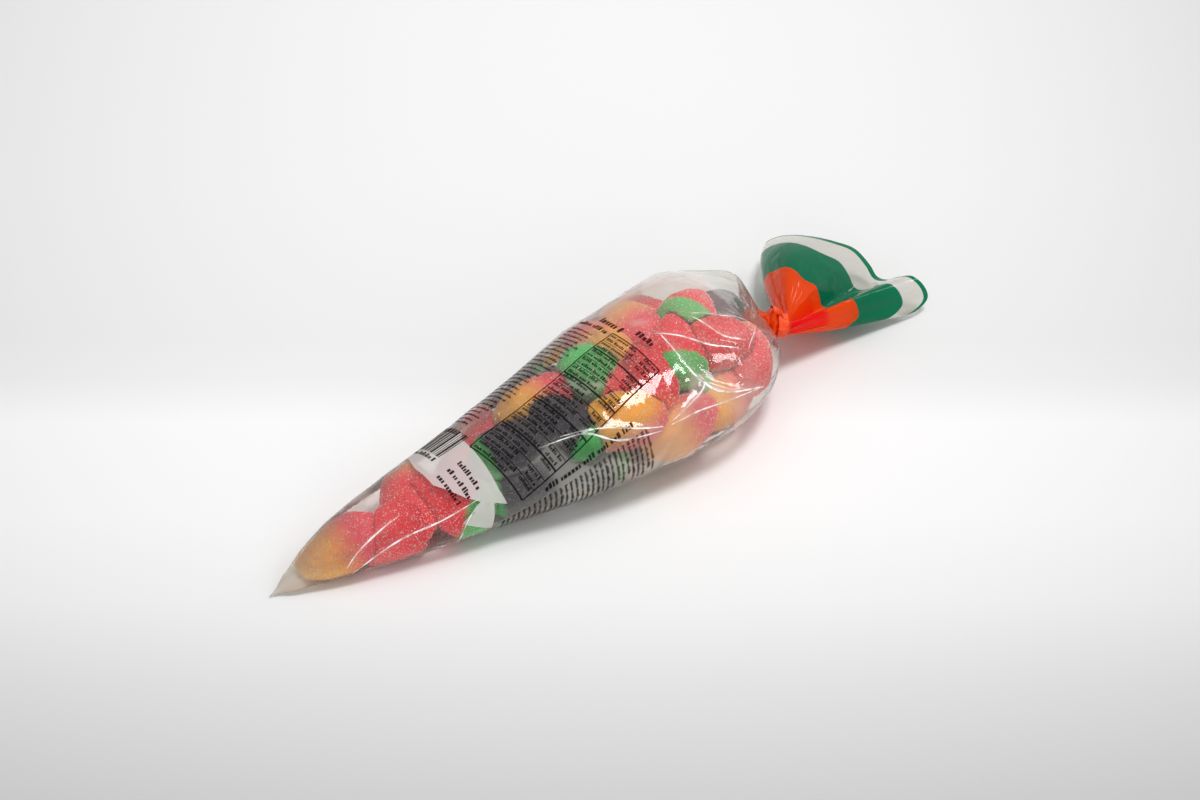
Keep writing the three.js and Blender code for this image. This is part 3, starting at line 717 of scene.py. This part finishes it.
# Haze on the film, from 0 to 1: where it stands off the sweets, by how deep they lie, and in patches where it
# is loose. A patch is its strength, and its middle and its reach along the pack and across the film.
CLEAREST, HAZIEST = 0.01, 0.92
OFF_SWEETS = [(0.05, 2.5, 4), (0.34, 7, 3)]
LOOSE_PATCHES = [(0.5, (154, 40), (25, 21)), (0.3, (112, -42), (42, 13))]
# Over the near shoulder the film is drawn tight and stays clear.
TIGHT_PATCH = (0.85, (180, -14), (19, 26))
# Haze towards the tip: its strength, where along the pack it starts to fade, and over what length.
TIP_HAZE = [(0.3, 0, 24), (0.13, 18, 40)]
TIP_END_HAZE = 0.7
# Painted highlights: white haze along the ridges of the folds.
FOLD_HIGHLIGHT_WIDTH = 0.62
FOLD_HIGHLIGHT_HAZE = 0.33


def painted_fold_highlights():
    """Painted highlights: how much white haze lies along the ridges of the long folds, broken up by noise."""
    field = np.zeros(across.shape)
    for height, _, points in FOLDS:
        fold(field, min(1, height), FOLD_HIGHLIGHT_WIDTH, points)
    ragged = blurred(RNG.random(across.shape), 3)
    return FOLD_HIGHLIGHT_HAZE * field * np.clip((ragged - 0.38) * 6, 0.4, 1)


def patch(strength, middle, reach):
    """A field that has this strength over a patch of the film and falls off at its edge."""
    return strength * np.exp(-((along_film - middle[0]) / reach[0]) ** 4
                             - ((across - middle[1]) / reach[1]) ** 4)


def film_haze():
    """The haze at each point of the cone's film."""
    depth = blurred(free_depth, 3)
    off_sweets = sum(strength * step((depth - start) / fade) for strength, start, fade in OFF_SWEETS)
    haze = CLEAREST + off_sweets * (1 - patch(*TIGHT_PATCH))
    for loose in LOOSE_PATCHES:
        haze += patch(*loose)
    for strength, start, fade in TIP_HAZE:
        haze += strength * (1 - step((crown_x - start) / fade))[:, None]
    # The folds' painted highlights are added to the haze here.
    return np.minimum(haze + painted_fold_highlights() * tip_fade, HAZIEST)


def film_piece(piece):
    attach(piece, "root")
    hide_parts("film_bag")


free_depth = depth_to_gummies()
tip_fade = step(crown_x / TIP_PLAIN_LENGTH)[:, None]
cone_film = shaped_cone()


def make_cone():
    """The cone's film, closed by one point at its tip."""
    hub = CONE_RINGS * AROUND
    faces = ring_faces(CONE_RINGS, AROUND).tolist()
    faces += [(hub, (k + 1) % AROUND, k) for k in range(AROUND)]
    points = np.concatenate([cone_film.reshape(-1, 3), [cone_film[0].mean(0)]])
    piece = mesh_object("film_cone", to_metres(points), faces, [clear_film()])
    point_values(piece, "haze", np.append(film_haze().ravel(), TIP_END_HAZE))
    film_piece(piece)


make_cone()

# Film of the neck and the skirt

# Crumpled film fills the neck up to the tie: what it adds to the radius, and how soon it starts and ends.
GATHER_RADIUS = 1.3
GATHER_START, GATHER_END = 1.6, 0.5
# Fine pleats: how many, and how deep they are in the neck and in the skirt, least and at most.
FINE_PLEATS = 34
NECK_FINE_DEPTH = 0.25
SKIRT_FINE_DEPTH = (0.12, 0.4)
# The middle of the far lobe, in degrees round the film.
FAR_LOBE = 40
# Two layers of orange overlap where the near lobe leaves the neck: the middle and half width of that place
# in degrees round the film, and its end as a share of the skirt's length.
DOUBLED_MIDDLE, DOUBLED_WIDTH = 160, 58
DOUBLED_END = 0.36

pleat_turns = np.sort(RNG.random(FINE_PLEATS)) * 2 * np.pi


def fine_pleats(reach):
    """The height of the fine pleats round the neck, for rings at reach from the tie."""
    height = np.zeros((len(reach), AROUND))
    for i, turn in enumerate(pleat_turns):
        off = np.abs((ANGLES - turn + np.pi) % (2 * np.pi) - np.pi)
        width = 0.035 + 0.03 * ((i * 7) % 5) / 4
        strength = 0.4 + 0.6 * ((i * 3) % 7) / 6
        length = 0.35 + 0.65 * ((i * 5) % 11) / 10
        height += strength * np.exp(-off / width)[None, :] * step(1 - reach / length)[:, None]
    return height


def neck_film():
    reach = np.linspace(0, NECK_LENGTH, NECK_RINGS)
    gathered = GATHER_RADIUS * step(reach / GATHER_START) * step((NECK_PUFF_LENGTH - reach) / GATHER_END)
    depth = NECK_FINE_DEPTH * np.sin(np.pi * reach / NECK_LENGTH)
    pleat = fine_pleats(np.zeros(NECK_RINGS)) * depth[:, None] + gathered[:, None]
    return neck_point(*np.broadcast_arrays(reach[:, None], ANGLES[None, :]), pleat=pleat)


def skirt_film(shares):
    least, more = SKIRT_FINE_DEPTH
    ripple = fine_pleats(shares) * (more * np.sin(np.pi * np.sqrt(shares)) + least)[:, None]
    rings = skirt_rings(shares)
    return rings + grid_normals(rings) * ripple[..., None]


def make_skirt():
    """The neck and the skirt, printed with fields of colour."""
    shares = np.linspace(0, 1, SKIRT_RINGS + 1)[1:] ** SKIRT_RING_POWER
    film = np.concatenate([cone_film[-1:], neck_film(), skirt_film(shares)])
    film[..., 2] = np.maximum(film[..., 2], SKIRT_FLOOR_GAP)
    piece = mesh_object("film_skirt", to_metres(film.reshape(-1, 3)), ring_faces(len(film), AROUND).tolist(),
                        [printed_film()])
    far_lobe = step((np.cos(ANGLES - math.radians(FAR_LOBE)) + 0.2) / 0.6)
    fields = shares[:, None] ** (NEAR_FIELDS + (FAR_FIELDS - NEAR_FIELDS) * far_lobe)[None, :]
    round_film = np.exp(-((ANGLES - np.radians(DOUBLED_MIDDLE)) / np.radians(DOUBLED_WIDTH)) ** 4)
    along_skirt = step(shares / 0.03) * step((DOUBLED_END - shares) / 0.06)
    doubled = round_film[None, :] * along_skirt[:, None]
    before_skirt = np.zeros((len(film) - SKIRT_RINGS) * AROUND)
    for name, values in (("share", fields), ("doubled", doubled)):
        point_values(piece, name, np.concatenate([before_skirt, values.ravel()]))
    film_piece(piece)


make_skirt()

# Print on the cone

cone_normals = grid_normals(cone_film)
unrolled_columns = (CROWN - np.arange(-AROUND // 2 + 1, AROUND // 2)) % AROUND
unrolled_across = across[:, unrolled_columns]


def on_film(x, w, height):
    """The place on the film at x along it and w across it, height above it."""
    i = np.interp(x, crown_x, np.arange(CONE_RINGS))
    low = min(int(i), CONE_RINGS - 2)
    place = np.zeros(3)
    for ring, weight in ((low, low + 1 - i), (low + 1, i - low)):
        k = np.interp(w, unrolled_across[ring], np.arange(len(unrolled_columns)))
        first = min(int(k), len(unrolled_columns) - 2)
        for column, part in ((first, first + 1 - k), (first + 1, k - first)):
            c = unrolled_columns[column]
            place += weight * part * (cone_film[ring, c] + cone_normals[ring, c] * height)
    return place


class Print:
    """Flat shapes laid on the film, each bent over it in small steps."""

    def __init__(self, height, pitch=1.2):
        self.height, self.pitch, self.points, self.faces = height, pitch, [], []

    def quad(self, corners):
        """A four-sided patch with corners (x, w), divided so that it follows the film."""
        c = np.array(corners, float)
        n = max(1, math.ceil(max(np.hypot(*(c[1] - c[0])), np.hypot(*(c[2] - c[3]))) / self.pitch))
        m = max(1, math.ceil(max(np.hypot(*(c[3] - c[0])), np.hypot(*(c[2] - c[1]))) / self.pitch))
        first = len(self.points)
        for j in range(m + 1):
            for i in range(n + 1):
                s, t = i / n, j / m
                p = (c[0] * (1 - s) + c[1] * s) * (1 - t) + (c[3] * (1 - s) + c[2] * s) * t
                self.points.append(on_film(*p, self.height))
        for j in range(m):
            for i in range(n):
                a = first + j * (n + 1) + i
                self.faces.append((a, a + 1, a + n + 2, a + n + 1))

    def bar(self, a, b, thick):
        a, b = np.array(a, float), np.array(b, float)
        run = (b - a) / np.hypot(*(b - a))
        side = np.array([-run[1], run[0]]) * thick / 2
        self.quad([a - side, b - side, b + side, a + side])

    def text_line(self, a, b, tall):
        """A line of small blocks from a to b, the size of words in small print."""
        a, b = np.array(a, float), np.array(b, float)
        length = np.hypot(*(b - a))
        run = (b - a) / length
        at = 0.0
        while at < length:
            for _ in range(RNG.integers(2, 8)):
                wide = tall * RNG.uniform(0.26, 0.5)
                if at + wide > length:
                    break
                rise = tall * RNG.choice([BLOCK_RISE, BLOCK_RISE, TALL_BLOCK_RISE])
                side = np.array([-run[1], run[0]]) * (rise - BLOCK_RISE * tall) / 2
                self.bar(a + run * at + side, a + run * (at + wide) + side, rise)
                at += wide + tall * 0.14
            at += tall * 0.32

    def finish(self, name, material):
        piece = mesh_object(name, to_metres(self.points), self.faces, [material])
        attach(piece, "root")


# Places are x along the pack and the distance across the film from the crown.
# A text line's blocks: how high most are and how high some are, as shares of the line's height.
BLOCK_RISE, TALL_BLOCK_RISE = 0.54, 0.8
# A table with a frame, rules across it and two columns of text.
TABLE = np.array([(78, 0), (84, -27), (144, -17), (141, 7)], float)
TABLE_ROWS = 28
TABLE_TEXT = 1.6
FRAME_WIDTH, RULE_WIDTH, BROAD_RULE_WIDTH = 0.5, 0.25, 0.7
# The striped code beside the panel, and the widths of its bars and gaps.
BARCODE = dict(start=68, end=80, low=4.0, high=20.0)
BAR_WIDTHS = [0.4, 0.4, 0.8, 1.1]
GAP_WIDTHS = [0.4, 0.7, 0.7]
# Single lines of text: start, end and height.
LOWER_LINES = [((66.2, 19), (66.2, 3), 2.2), ((63.5, -3), (64, -16), 2.2), ((67.5, -3), (68, -16), 2.2),
               ((71.5, -3), (72, -16), 2.2), ((92, -28.5), (126, -27.5), 2.4)]
UPPER_LINES = [((139.5, 26), (139.5, 9), 2.4), ((143.5, 18), (143.5, 4), 3.4), ((147, 1), (148, -9), 3.0)]
# Columns of short lines down the two sides: their first, last and spacing along the pack, where they begin
# across it, and their lean, lengths and height.
NEAR_COLUMN = dict(along=(77, 130, 1.8), top=-31, lean=0.6, lengths=(12, 18), tall=1.3)
FAR_COLUMN = dict(along=(84, 138, 2.0), top=26, lean=-0.4, lengths=(14, 18), tall=1.15)
BLACK_HEIGHT = 0.10


def in_table(s, t):
    """The point at share s along the table and t across it."""
    return (TABLE[0] * (1 - s) + TABLE[3] * s) * (1 - t) + (TABLE[1] * (1 - s) + TABLE[2] * s) * t


def print_table(black):
    for start, end in (((0, 0), (1, 0)), ((0, 1), (1, 1)), ((0, 0), (0, 1)), ((1, 0), (1, 1))):
        black.bar(in_table(*start), in_table(*end), FRAME_WIDTH)
    for row in range(TABLE_ROWS):
        s = (row + 0.5) / TABLE_ROWS
        black.text_line(in_table(s, 0.03), in_table(s, RNG.uniform(0.5, 0.66)), TABLE_TEXT)
        if row % 4:
            black.text_line(in_table(s, RNG.uniform(0.7, 0.78)), in_table(s, 0.96), TABLE_TEXT)
        edge = (row + 1) / TABLE_ROWS
        if row % 2 and row < TABLE_ROWS - 1:
            black.bar(in_table(edge, 0), in_table(edge, 1), BROAD_RULE_WIDTH if row % 6 == 5 else RULE_WIDTH)


def print_barcode(black):
    at = BARCODE["low"]
    while at < BARCODE["high"]:
        wide = RNG.choice(BAR_WIDTHS)
        black.bar((BARCODE["start"], at + wide / 2), (BARCODE["end"], at + wide / 2), wide)
        at += wide + RNG.choice(GAP_WIDTHS)


def print_column(black, along, top, lean, lengths, tall):
    for x in np.arange(*along):
        black.text_line((x, top), (x + lean, top - RNG.uniform(*lengths)), tall)


def make_black_print():
    black = Print(BLACK_HEIGHT)
    print_table(black)
    print_barcode(black)
    for line in LOWER_LINES:
        black.text_line(*line)
    print_column(black, **NEAR_COLUMN)
    print_column(black, **FAR_COLUMN)
    for line in UPPER_LINES:
        black.text_line(*line)
    black.finish("print_black", print_ink("black_print", (28, 26, 30), 0.92))


make_black_print()

# The frosted panel beside the table, in strips, with a corner that runs down the side.
PANEL_EDGE_ACROSS = [-19, -15, -5, 6, 18]
PANEL_EDGE_ALONG = [71, 67, 60.5, 60, 63]
PANEL_END = 78
PANEL_STRIPS = np.arange(-19, 23, 2.0)
PANEL_CORNER = [
    [(71, -19), (78, -19), (79, -25), (75, -22)],
    [(63, -22), (71, -19), (75, -22), (73, -31)],
]
PANEL_HEIGHT = 0.05


def panel_start(w):
    return np.interp(w, PANEL_EDGE_ACROSS, PANEL_EDGE_ALONG)


def make_panel():
    panel = Print(PANEL_HEIGHT, pitch=2)
    for low, high in zip(PANEL_STRIPS[:-1], PANEL_STRIPS[1:]):
        panel.quad([(panel_start(low), low), (PANEL_END, low), (PANEL_END, high), (panel_start(high), high)])
    for corners in PANEL_CORNER:
        panel.quad(corners)
    panel.finish("print_panel", print_ink("panel_print", (230, 224, 222), 0.68))


make_panel()

# Painted highlights along the long folds, as white strips on low ridges

RIDGE_HEIGHT = 0.14
RIDGE_STEPS = 8


def ridge_line(ridges, width, points):
    """One long low ridge through several points of the film, tapering to its ends."""
    points = np.array(points, float)
    count = 1 + RIDGE_STEPS * (len(points) - 1)
    t = np.linspace(0, len(points) - 1, count)
    line = np.stack([smooth(points[:, k], t) for k in (0, 1)], -1)
    run = np.gradient(line, axis=0)
    side = np.stack([-run[:, 1], run[:, 0]], -1) / np.maximum(np.hypot(*run.T), 1e-6)[:, None]
    taper = np.sin(np.pi * np.linspace(0.03, 0.97, count)) ** 0.6
    half = width / 2 * taper * RNG.uniform(0.6, 1.25, count)
    low, high = line - side * half[:, None], line + side * half[:, None]
    for i in range(count - 1):
        ridges.quad([low[i], low[i + 1], high[i + 1], high[i]])


def make_fold_highlights():
    ridges = Print(RIDGE_HEIGHT)
    # Each long fold gets a white strip of painted highlight along its ridge.
    for height, _, points in FOLDS:
        ridge_line(ridges, 0.28 + 0.34 * height, points)
    ridges.finish("film_fold_highlights", fold_highlight_material())


make_fold_highlights()

# Tie

RIBBON_STEPS = 72
TAIL_STEPS = 30
# The ribbon's section: places across it, as shares of half its width, and how high the wire in it stands.
SECTION_SHARES = np.array([-1, -0.8, -0.35, -0.16, 0, 0.16, 0.35, 0.8, 1])
WIRE_BULGE = 0.35
# The ribbon is narrower and thinner than its solid.
RIBBON_NARROWING = 0.96
TURN_THINNING, TAIL_THINNING = 0.55, 0.7
# Crumples round the turn: how high each wave is, how often it comes round, and where it starts.
CRUMPLES = [(0.26, 9, 0), (0.2, 5, 1), (0.14, 17, 2)]
# The wire's bare end: its radius, how deep it is in the tail, and its length.
WIRE_RADIUS = 0.35
WIRE_INSET = 0.4
WIRE_LENGTH = 1.1


def ribbon(path, wide_ways, thick_ways, width, wall):
    """A flat ribbon with a wire ridge along its middle, as rings of points along a path."""
    ridge = np.exp(-(SECTION_SHARES / 0.16) ** 2) * wall * WIRE_BULGE
    rings = []
    for place, wide, thick in zip(path, wide_ways, thick_ways):
        upper = [place + wide * s * width / 2 + thick * (wall / 2 + r) for s, r in zip(SECTION_SHARES, ridge)]
        lower = [place + wide * s * width / 2 - thick * wall / 2 for s in SECTION_SHARES[::-1]]
        rings.append(upper + lower)
    return np.array(rings)


def tube_faces(rings, first):
    """The faces of a tube of rings that is closed at both ends, its points counted from first."""
    around = rings.shape[1]
    last = first + len(rings) * around
    faces = ring_faces(len(rings), around, first).tolist()
    faces.append(list(range(first + around - 1, first - 1, -1)))
    faces.append(list(range(last - around, last)))
    return faces


def tie_turn(middle, radius):
    turn = np.linspace(np.pi / 2, np.pi / 2 + 2 * np.pi, RIBBON_STEPS)
    out = [NECK_FAR * math.cos(a) + NECK_CROWN * math.sin(a) for a in turn]
    waves = sum(height * np.sin(turn * count + start) for height, count, start in CRUMPLES)
    return ribbon([middle + o * (radius + w) for o, w in zip(out, waves)], [-NECK_AXIS] * RIBBON_STEPS, out,
                  TIE_WIDTH * RIBBON_NARROWING, TIE_WALL * TURN_THINNING)


def tie_tail(root, way, side):
    """The ribbon's twisted tail, and the end of the wire that stands out of it."""
    third = np.cross(way, side)
    shares = np.linspace(0, 1, TAIL_STEPS)
    angles = np.radians(TIE_TAIL["twist"]) * shares
    wide_ways = [side * math.cos(a) + third * math.sin(a) for a in angles]
    thick_ways = [third * math.cos(a) - side * math.sin(a) for a in angles]
    tail = ribbon([root + way * s * TIE_TAIL["length"] for s in shares], wide_ways, thick_ways,
                  TIE_TAIL["width"] * RIBBON_NARROWING, TIE_WALL * TAIL_THINNING)
    wire = np.array([[root + way * (TIE_TAIL["length"] - WIRE_INSET + WIRE_LENGTH * s)
                      + WIRE_RADIUS * (side * math.cos(a) + third * math.sin(a))
                      for a in np.linspace(0, 2 * np.pi, 12, endpoint=False)] for s in (0, 0.5, 1)])
    return tail, wire


def make_tie():
    radius = NECK_RADIUS + NECK_PLEAT_DEPTH + SEAT_GAP + TIE_WALL / 2
    middle = NECK_START + NECK_AXIS * (NECK_PUFF_LENGTH + SEAT_GAP + TIE_WIDTH / 2)
    lean = math.radians(TIE_TAIL["lean"])
    way = NECK_CROWN * math.cos(lean) - NECK_AXIS * math.sin(lean)
    tail, wire = tie_tail(middle + NECK_CROWN * (radius - 0.2), way, NECK_FAR)
    points, faces, marks = [], [], []
    for rings, mark in ((tie_turn(middle, radius), 0), (tail, 0), (wire, 1)):
        made = tube_faces(rings, len(points))
        points.extend(rings.reshape(-1, 3))
        faces.extend(made)
        marks.extend([mark] * len(made))
    piece = mesh_object("wire_tie", to_metres(points), faces, [tie_material(), wire_material()])
    piece.data.polygons.foreach_set("material_index", marks)
    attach(piece, "root")
    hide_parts("neck_tie")


make_tie()

# Floor, light and camera

TARGET = to_metres((145.2, 21.6, 0))
CAMERA_DISTANCE = 0.998
CAMERA_AZIMUTH, CAMERA_ELEVATION = math.radians(-34.56), math.radians(40)
LENS, SENSOR = 85, 36

FLOOR_HALF = 3
# The floor's linear colour at distances in metres from the pack's middle, away from the camera. It is painted
# light and shade: a bright band near the middle, a little darker just beyond it, and much darker near the
# camera.
FLOOR_PAINTED_LIGHT_AND_SHADE = [(-0.19, 0.62), (-0.14, 0.75), (-0.1, 0.88), (-0.06, 0.95), (-0.012, 0.98), (0.012, 0.89),
                (0.035, 0.87), (0.13, 0.92), (0.26, 0.96)]
# Painted shade: it darkens with the square of the distance from a line left of the middle.
FLOOR_PAINTED_SIDE_SHADE = 2.3
FLOOR_SIDE_MIDDLE = 0.085
# The least share of its colour that the painted side shade leaves.
FLOOR_DARKEST_PAINTED_SHADE = 0.5

# Each lamp's place and size in metres, its power in watts, and whether the film mirrors it.
LAMPS = [
    ("window", (0.22, -0.16, 0.95), (0.29, 0.24), 4.5, True),
    ("strip", (1.05, -0.1, 0.6), (0.14, 0.5), 2.4, True),
    ("overhead", (-0.1, 0.3, 1.4), (1.8, 1.4), 2.2, False),
    ("front", (-0.55, -1.25, 0.36), (1.0, 0.6), 4.4, False),
]
# The world's white, as it lights the pack and as the film mirrors it.
WORLD_LIGHT, WORLD_MIRRORED = 0.42, 0.75


def floor_material():
    material, tree = new_material("floor")
    place = node(tree, "TexCoord", output="Object")
    away = (-math.sin(CAMERA_AZIMUTH), math.cos(CAMERA_AZIMUTH), 0)
    left = (-away[1], away[0], 0)

    def math_node(operation, *values):
        return node(tree, "Math", dict(enumerate(values)), operation=operation)

    def run(way):
        """The distance from the target along the floor that way."""
        dot = node(tree, "VectorMath", {0: place, 1: way}, "Value", operation="DOT_PRODUCT")
        return math_node("ADD", dot, -float(np.dot(way, TARGET)))

    first, last = FLOOR_PAINTED_LIGHT_AND_SHADE[0][0], FLOOR_PAINTED_LIGHT_AND_SHADE[-1][0]
    share = map_range(tree, run(away), (0.0, 1.0), (first, last))
    stops = [((at - first) / (last - first), (shade, shade, shade, 1)) for at, shade in FLOOR_PAINTED_LIGHT_AND_SHADE]
    side = math_node("ADD", run(left), -FLOOR_SIDE_MIDDLE)
    squared = math_node("MULTIPLY", side, side)
    fade = math_node("MULTIPLY_ADD", squared, -FLOOR_PAINTED_SIDE_SHADE, 1.0)
    kept = math_node("MAXIMUM", fade, FLOOR_DARKEST_PAINTED_SHADE)
    # Painted light and shade: the colour along the floor, darkened towards the sides.
    colour = node(tree, "VectorMath", {0: colour_ramp(tree, share, stops), "Scale": kept}, operation="SCALE")
    return finished(material, node(tree, "BsdfDiffuse", {"Color": colour}))


def make_floor():
    corners = [(x * FLOOR_HALF, y * FLOOR_HALF, 0) for x, y in ((-1, -1), (1, -1), (1, 1), (-1, 1))]
    floor = mesh_object("floor", corners, [(0, 1, 2, 3)], [floor_material()])


def make_lamp(name, place, size, power, mirrored):
    """A rectangular lamp aimed at the frame's origin."""
    data = bpy.data.lights.new(name, "AREA")
    data.shape, data.size, data.size_y, data.energy = "RECTANGLE", size[0], size[1], power
    lamp = new_object(name, data)
    lamp.location = place
    lamp.rotation_euler = (-Vector(place)).to_track_quat("-Z", "Y").to_euler()
    lamp.visible_glossy = mirrored


def make_world():
    world = bpy.data.worlds.new("studio")
    world.use_nodes = True
    sky = world.node_tree
    background = sky.nodes["Background"]
    background.inputs["Color"].default_value = (1, 1, 1, 1)
    mirrored = node(sky, "LightPath", output="Is Glossy Ray")
    strength = map_range(sky, mirrored, (WORLD_LIGHT, WORLD_MIRRORED))
    sky.links.new(strength, background.inputs["Strength"])
    scene.world = world


def make_camera():
    level = math.cos(CAMERA_ELEVATION)
    back = Vector((math.sin(CAMERA_AZIMUTH) * level, -math.cos(CAMERA_AZIMUTH) * level,
                   math.sin(CAMERA_ELEVATION)))
    data = bpy.data.cameras.new("camera")
    data.lens, data.sensor_width = LENS, SENSOR
    camera = new_object("camera", data)
    camera.location = Vector(TARGET) + back * CAMERA_DISTANCE
    camera.rotation_euler = (-back).to_track_quat("-Z", "Y").to_euler()
    scene.camera = camera


make_floor()
for lamp in LAMPS:
    make_lamp(*lamp)
make_world()
make_camera()
scene.cycles.transparent_max_bounces = 32
scene.view_settings.view_transform = "Standard"
